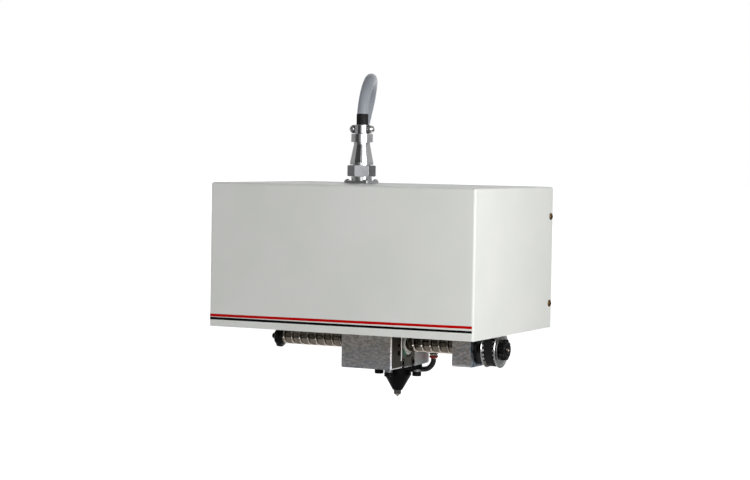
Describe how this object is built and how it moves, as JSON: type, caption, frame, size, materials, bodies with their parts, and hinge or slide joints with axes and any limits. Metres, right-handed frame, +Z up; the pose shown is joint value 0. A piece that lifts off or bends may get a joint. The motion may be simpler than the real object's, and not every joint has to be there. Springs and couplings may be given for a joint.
{
  "type": "scribing marking head",
  "caption": "Covered two-axis scribing marking head: ball-screw carriage with a sprung stylus below a folded cover, top connector with looped cord.",
  "frame": {"origin": "centre of the mounting pad's face on the back, which the machine's column holds", "axes": "+Z up, +Y out of the back towards the column, +X to the right seen from the front, along the long screw"},
  "size_m": [0.3735, 0.2457, 0.3593],
  "materials": {
    "white_enamel": "semi-gloss powder coat",
    "clear_aluminium": "satin clear anodised",
    "brushed_aluminium": "milled and brushed",
    "ground_steel": "ground",
    "black_oxide": "black oxide, satin",
    "black_anodised": "black anodised",
    "black_rubber": "matt",
    "black_plastic": "satin",
    "white_plastic": "satin",
    "red_plastic": "glossy",
    "nickel_plate": "satin nickel plate",
    "grey_pvc": "smooth cord jacket"
  },
  "bodies": {
    "head": {"cover": "white_enamel", "back_plate": "clear_aluminium", "frame_plate": "clear_aluminium", "gusset_left": "clear_aluminium", "gusset_right": "clear_aluminium", "y_rail_left": "ground_steel", "y_rail_right": "ground_steel", "y_motor": "black_oxide", "y_motor_bracket": "brushed_aluminium", "y_bearing_block": "clear_aluminium", "connector_socket": "nickel_plate", "plug_shell": "nickel_plate", "cord_clamp": "nickel_plate", "cord_sleeve": "black_rubber", "cord_lead": "grey_pvc", "cord_coil": "grey_pvc", "far_plug": "nickel_plate"},
    "y_drive": {"y_screw": "ground_steel", "y_coupling": "clear_aluminium"},
    "saddle": {"saddle_plate": "clear_aluminium", "y_slider_left": "ground_steel", "y_slider_right": "ground_steel", "y_nut_bracket": "clear_aluminium", "y_nut": "ground_steel", "hanger_left": "clear_aluminium", "hanger_right": "clear_aluminium", "x_beam": "clear_aluminium", "x_rail_front": "ground_steel", "x_rail_back": "ground_steel", "x_bearing_block": "brushed_aluminium", "x_bearing": "ground_steel", "bearing_seal": "black_oxide", "x_motor_bracket": "brushed_aluminium", "x_motor": "black_oxide", "drive_belt": "black_rubber"},
    "x_drive": {"x_screw": "ground_steel", "screw_pulley": "clear_aluminium", "lock_nut": "black_oxide", "stop_ring": "black_oxide"},
    "x_motor_rotor": {"motor_pulley": "clear_aluminium", "x_motor_shaft": "ground_steel"},
    "carriage": {"carriage_plate": "clear_aluminium", "front_block": "brushed_aluminium", "nut_block": "brushed_aluminium", "ball_nut": "ground_steel", "wiper_ring": "white_plastic", "x_slider_front": "ground_steel", "x_slider_back": "ground_steel", "stylus_block": "clear_aluminium", "stylus_flange": "black_anodised", "nose_cone": "black_anodised", "valve_body": "black_plastic", "air_fitting": "nickel_plate", "fitting_collar": "red_plastic", "air_tube": "black_plastic", "return_spring": "ground_steel"},
    "stylus": {"piston_rod": "ground_steel", "stylus_tip": "ground_steel"},
    "plug_nut": {"coupling_nut": "nickel_plate"}
  },
  "joints": [
    {"name": "y_slide", "type": "slide", "parent": "head", "child": "saddle", "axis": [0, 1, 0], "range_m": [-0.04, 0.01]},
    {"name": "y_screw_spin", "type": "hinge", "parent": "head", "child": "y_drive", "pos_m": [0, -0.114, 0.0345], "axis": [0, 1, 0], "range_deg": [-730, 2890]},
    {"name": "x_slide", "type": "slide", "parent": "saddle", "child": "carriage", "axis": [1, 0, 0], "range_m": [-0.078, 0.052]},
    {"name": "x_screw_spin", "type": "hinge", "parent": "saddle", "child": "x_drive", "pos_m": [0, -0.114, -0.0955], "axis": [1, 0, 0], "range_deg": [-1880, 2815]},
    {"name": "x_motor_spin", "type": "hinge", "parent": "saddle", "child": "x_motor_rotor", "pos_m": [0.1135, -0.114, -0.01564], "axis": [1, 0, 0], "range_deg": [-2580, 3870]},
    {"name": "stylus_stroke", "type": "slide", "parent": "carriage", "child": "stylus", "axis": [0, 0, -1], "range_m": [0, 0.005], "stiffness_N_per_m": 1000, "springref_m": -0.005, "deforming": ["return_spring"]},
    {"name": "coupling_nut_turn", "type": "hinge", "parent": "head", "child": "plug_nut", "pos_m": [-0.0367, -0.103, 0.085], "axis": [0, 0, 1], "range_deg": [0, 360]}
  ],
  "couplings": [
    {"joint": "y_screw_spin", "follows": "y_slide", "rad_per_m": -1256.6},
    {"joint": "x_screw_spin", "follows": "x_slide", "rad_per_m": -628.32},
    {"joint": "x_motor_spin", "follows": "x_slide", "rad_per_m": -863.94}
  ]
}
